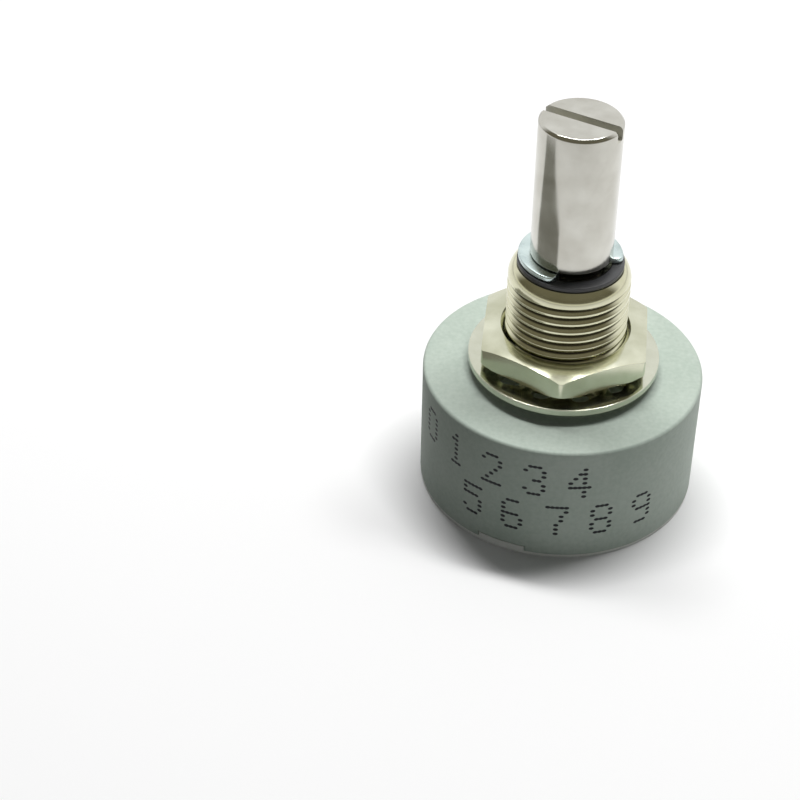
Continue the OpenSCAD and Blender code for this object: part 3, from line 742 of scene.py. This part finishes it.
# grows a ring of faces from a round hole to the lug's outline, seen from the hole's centre
def makeTerminal(number, angle):
    half = terminals["width"] / 2
    low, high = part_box("terminal_2")
    inner, outer = low[1] / mm, high[1] / mm
    hole = outer - lug["eyeletInset"]
    turn = outer - half - hole  # from the eyelet to the centre of the round end
    tiny = 1e-6  # keeps a division from failing
    bm = bmesh.new()
    bmesh.ops.create_circle(bm, segments=lug["steps"], radius=lug["eyelet"] / 2)

    def outline(co):
        d = Vector((co.x, co.y, 0)).normalized()
        toSide = half / max(abs(d.y), tiny)
        if toSide * abs(d.x) <= (turn if d.x > 0 else half):
            return d * toSide
        if d.x < 0:
            return d * (half / abs(d.x))
        b = d.x * turn
        return d * (b + math.sqrt(b * b - turn * turn + half * half))

    loop = nextLoop(bm, bm.edges[:], outline)
    back = [e for e in loop if all(abs(v.co.x + half) < weld for v in e.verts)]
    nextLoop(bm, back, lambda co: Vector((inner - hole, co.y, 0)))
    faceUp(bm)
    bmesh.ops.solidify(bm, geom=bm.faces[:], thickness=termHigh - termLow)
    bmesh.ops.translate(bm, verts=bm.verts, vec=(hole, 0, termHigh - max(v.co.z for v in bm.verts)))
    bmesh.ops.rotate(bm, verts=bm.verts, cent=(0, 0, 0), matrix=Matrix.Rotation(math.radians(angle), 3, "Z"))
    bmesh.ops.recalc_face_normals(bm, faces=bm.faces)
    addPiece(bm, "lug_%d" % number, goldFlash, "stator", "terminal_%d" % number,
             edge=lug["edge"])


for number, angle in enumerate(terminalTurns, 1):
    makeTerminal(number, angle)


# counting digits in two rows of ink dots on the front of the housing

ink = {  # each row is its text, the height of its foot and the direction of its end
    "rows": (("0 1 2 3 4", 6.35, -74), ("5 6 7 8 9", 2.5, -46)),
    "columnPitch": 0.36, "rowPitch": 0.45, "cell": 1.76, "dotWidth": 0.21, "dotHeight": 0.14, "dotSides": 12,
    "stand": 0.006, "film": 0.005,
}
digitDots = {  # columns that are inked in each of the seven rows, from the top
    "0": ("123", "04", "04", "04", "04", "04", "123"), "1": ("2", "12", "2", "2", "2", "2", "123"),
    "2": ("123", "04", "4", "3", "2", "1", "01234"), "3": ("123", "04", "4", "23", "4", "04", "123"),
    "4": ("3", "23", "13", "03", "01234", "3", "3"), "5": ("01234", "0", "0123", "4", "4", "04", "123"),
    "6": ("123", "0", "0", "0123", "04", "04", "123"), "7": ("01234", "4", "3", "3", "2", "2", "2"),
    "8": ("123", "04", "04", "123", "04", "04", "123"), "9": ("123", "04", "04", "1234", "4", "4", "123"),
}


def addDot(bm, angle, height):
    dot = bmesh.ops.create_circle(bm, cap_ends=True, segments=ink["dotSides"], radius=1)["verts"]
    bmesh.ops.scale(bm, vec=(ink["dotHeight"], ink["dotWidth"], 1), verts=dot)
    upright = Matrix.Rotation(angle, 4, "Z") @ Matrix.Rotation(math.pi / 2, 4, "Y")
    bmesh.ops.transform(bm, matrix=upright, verts=dot)
    out = bodyR - ink["stand"]
    bmesh.ops.translate(bm, verts=dot, vec=(out * math.cos(angle), out * math.sin(angle), height))


def makeInk():
    bm = bmesh.new()
    for text, foot, end in ink["rows"]:
        for place, digit in enumerate(text):
            lines = digitDots.get(digit, ())  # a space has none
            for line, columns in enumerate(lines):
                for column in columns:
                    along = (place - len(text)) * ink["cell"] + int(column) * ink["columnPitch"]
                    height = foot + (len(lines) - 1 - line) * ink["rowPitch"]
                    addDot(bm, math.radians(end) + along / bodyR, height)
    for v in bm.verts:  # the dots follow the round side
        v.co = at(v.co, bodyR - ink["stand"] - ink["film"], v.co.z)
    made = bmesh.ops.extrude_face_region(bm, geom=bm.faces[:])["geom"]
    for v in newPoints(made):
        v.co = at(v.co, bodyR - ink["stand"], v.co.z)
    bmesh.ops.recalc_face_normals(bm, faces=bm.faces)
    addPiece(bm, "ink_digits", printInk, "stator", sharp=60)


makeInk()


# finishes for the pieces inside the housing, whose solids are shown as they are

insideFinishes = {
    "wave_washer": springSteel, "rotor_hub": rotorNylon, "wiper": contactAlloy, "element_disc": phenolic,
    "resistance_track": carbonInk, "collector_track": carbonInk, "pad_1": firedSilver, "pad_2": firedSilver,
    "pad_3": firedSilver, "rivet_1": goldFlash, "rivet_2": goldFlash, "rivet_3": goldFlash,
}
for node, finish in insideFinishes.items():
    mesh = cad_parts[node].data
    mesh.materials.clear()
    mesh.materials.append(finish)
print("inside finishes:", len(insideFinishes))


# camera at the photograph's place, which looks down at the part from the front and is turned off it
camera = {"distance": 165.65, "elevation": 37.49, "pan": 4.386, "tilt": -1.32, "roll": 4.395, "lens": 93.46}
cameraData = bpy.data.cameras.new("camera")
cameraData.lens = camera["lens"]
cameraData.clip_start = 1 * mm
cameraObject = bpy.data.objects.new("camera", cameraData)
bpy.context.scene.collection.objects.link(cameraObject)
rise = math.radians(camera["elevation"])
stand = Vector((0, -math.cos(rise), math.sin(rise))) * camera["distance"] + Vector((0, 0, frontZ))
cameraObject.matrix_world = (Matrix.Translation(stand * mm) @ Matrix.Rotation(math.pi / 2 - rise, 4, "X")
                             @ Matrix.Rotation(math.radians(camera["pan"]), 4, "Y")
                             @ Matrix.Rotation(math.radians(camera["tilt"]), 4, "X")
                             @ Matrix.Rotation(math.radians(camera["roll"]), 4, "Z"))
bpy.context.scene.camera = cameraObject
print("camera placed")


# pale table and soft light from above and behind

studio = {
    "table": 0.9, "paper": "#FAFAFA", "bounce": "#C0C0C0", "bounceLeft": "#363636", "bounceEdge": (-16, 4),
    "behindSeen": "#FFFFFF", "behindLit": "#B3B3B3", "behind": (0.12, 0.99, 0.04), "behindEdge": (0.0, 0.45),
    "frontLow": "#676355", "frontHigh": "#747060", "frontRise": (0.1, 0.6),
    "frontLitLow": "#C4C4C4", "frontLitHigh": "#262626", "frontLitRise": (0.1, 0.35),
    "overhead": "#FFFFFF", "overheadRise": (0.9, 0.95), "horizon": "#E6E5DA", "horizonRise": (0.05, 0.13),
    "backdrop": "#FFFFFF",
}
cardShape = {  # directions and arcs in degrees, distances in millimetres
    "toward": 191, "lean": 10, "near": 23, "far": 70, "farArc": 15.5, "nearArc": 36, "widest": 0.58,
    "stand": 0.05, "grey": "#86867F",
}
strip = {"place": (0.025, 0.105, 0.372), "width": 0.3, "height": 0.04, "power": 1.5}  # metres and watts


# white paper to the eye and in reflections, but it throws less light on the part, least at the left
def makeTable():
    material, tree, shader, place = newMaterial("whitePaper")
    shader.inputs["Roughness"].default_value = 0.9
    shader.inputs["Specular IOR Level"].default_value = 0.1
    path = addNode(tree, "ShaderNodeLightPath").outputs
    seen = addNode(tree, "ShaderNodeMath", {0: path["Is Camera Ray"], 1: path["Is Glossy Ray"]},
                   operation="ADD")
    seen = addNode(tree, "ShaderNodeMath", {0: seen.outputs[0], 1: path["Is Transmission Ray"]},
                   operation="ADD", use_clamp=True)
    across = addNode(tree, "ShaderNodeSeparateXYZ", {0: place}).outputs["X"]
    dark, light = studio["bounceEdge"]
    right = addNode(tree, "ShaderNodeMapRange",
                    {"Value": across, "From Min": dark * mm, "From Max": light * mm},
                    interpolation_type="SMOOTHSTEP")
    bounce = addNode(tree, "ShaderNodeMix",
                     {"Factor": right.outputs[0], firstColour: toLinear(studio["bounceLeft"]),
                      secondColour: toLinear(studio["bounce"])}, data_type="RGBA")
    paper = addNode(tree, "ShaderNodeMix",
                    {"Factor": seen.outputs[0], firstColour: bounce.outputs[mixedColour],
                     secondColour: toLinear(studio["paper"])}, data_type="RGBA")
    tree.links.new(paper.outputs[mixedColour], shader.inputs["Base Color"])
    bm = bmesh.new()
    bmesh.ops.create_grid(bm, x_segments=1, y_segments=1, size=studio["table"] / 2)
    table = addObject(bm, "table", material)


# bright behind and overhead, dim and warm in front; light on matt surfaces is weaker than what metal mirrors
def makeSky():
    world = bpy.data.worlds.new("studio")
    world.use_nodes = True
    bpy.context.scene.world = world
    tree = world.node_tree
    look = addNode(tree, "ShaderNodeTexCoord").outputs["Generated"]
    up = addNode(tree, "ShaderNodeSeparateXYZ", {0: look}).outputs["Z"]
    behind = addNode(tree, "ShaderNodeVectorMath", {0: look, 1: studio["behind"]}, operation="DOT_PRODUCT")
    path = addNode(tree, "ShaderNodeLightPath").outputs
    mirrored = addNode(tree, "ShaderNodeMath", {0: path["Is Glossy Ray"], 1: path["Is Transmission Ray"]},
                       operation="ADD", use_clamp=True)
    shares = {"camera": path["Is Camera Ray"], "mirrored": mirrored.outputs[0]}
    for edge, value in (("behindEdge", behind.outputs["Value"]), ("frontRise", up), ("horizonRise", up),
                        ("overheadRise", up), ("frontLitRise", up)):
        start, end = studio[edge]
        share = addNode(tree, "ShaderNodeMapRange", {"Value": value, "From Min": start, "From Max": end},
                        interpolation_type="SMOOTHSTEP")
        shares[edge] = share.outputs[0]
    tones = {name: toLinear(studio[name]) for name in (
        "frontLow", "frontHigh", "horizon", "behindSeen", "overhead", "frontLitLow", "frontLitHigh",
        "behindLit", "backdrop")}
    layers = (  # what is mixed, the share of the second tone in it, and the two tones
        ("front", "frontRise", "frontLow", "frontHigh"),
        ("front", "horizonRise", "horizon", "front"),
        ("seen", "behindEdge", "front", "behindSeen"),
        ("seen", "overheadRise", "seen", "overhead"),
        ("lit", "frontLitRise", "frontLitLow", "frontLitHigh"),
        ("lit", "behindEdge", "lit", "behindLit"),
        ("sky", "mirrored", "lit", "seen"),
        ("sky", "camera", "sky", "backdrop"),
    )
    for mixed, share, first, second in layers:
        mix = addNode(tree, "ShaderNodeMix", {"Factor": shares[share], firstColour: tones[first],
                                              secondColour: tones[second]}, data_type="RGBA")
        tones[mixed] = mix.outputs[mixedColour]
    tree.links.new(tones["sky"], tree.nodes["Background"].inputs["Color"])


def addLamp(name, place, width, height, power):
    lampData = bpy.data.lights.new(name, "AREA")
    lampData.shape = "RECTANGLE"
    lampData.size = width
    lampData.size_y = height
    lampData.energy = power
    lamp = bpy.data.objects.new(name, lampData)
    lamp.location = place
    lamp.rotation_euler = Vector(place).to_track_quat("Z", "Y").to_euler()
    bpy.context.scene.collection.objects.link(lamp)


# a grey card on the table to the left, which only reflections show, gives the shaft a dark streak
def makeCard():
    shape = cardShape
    bm = bmesh.new()
    bmesh.ops.create_grid(bm, x_segments=16, y_segments=12, size=1)
    for v in bm.verts:
        share = (v.co.y + 1) / 2
        close = min(shape["widest"], (1 - share) ** 2)
        turn = shape["toward"] + shape["lean"] * close + v.co.x * (shape["farArc"] + shape["nearArc"] * close)
        out = shape["near"] + share * (shape["far"] - shape["near"])
        v.co = direction(turn) * out + Vector((0, 0, shape["stand"]))
    bmesh.ops.scale(bm, vec=(mm, mm, mm), verts=bm.verts)
    material = bpy.data.materials.new("greyCard")
    material.use_nodes = True
    shader = material.node_tree.nodes["Principled BSDF"]
    shader.inputs["Base Color"].default_value = (0, 0, 0, 1)
    shader.inputs["Emission Color"].default_value = toLinear(shape["grey"])
    shader.inputs["Emission Strength"].default_value = 1
    card = addObject(bm, "greyCard", material)
    card.visible_camera = False
    card.visible_diffuse = False
    card.visible_shadow = False


makeTable()
makeCard()
makeSky()
addLamp("stripBehind", strip["place"], strip["width"], strip["height"], strip["power"])
bpy.context.scene.view_settings.view_transform = "Standard"
print("studio ready")
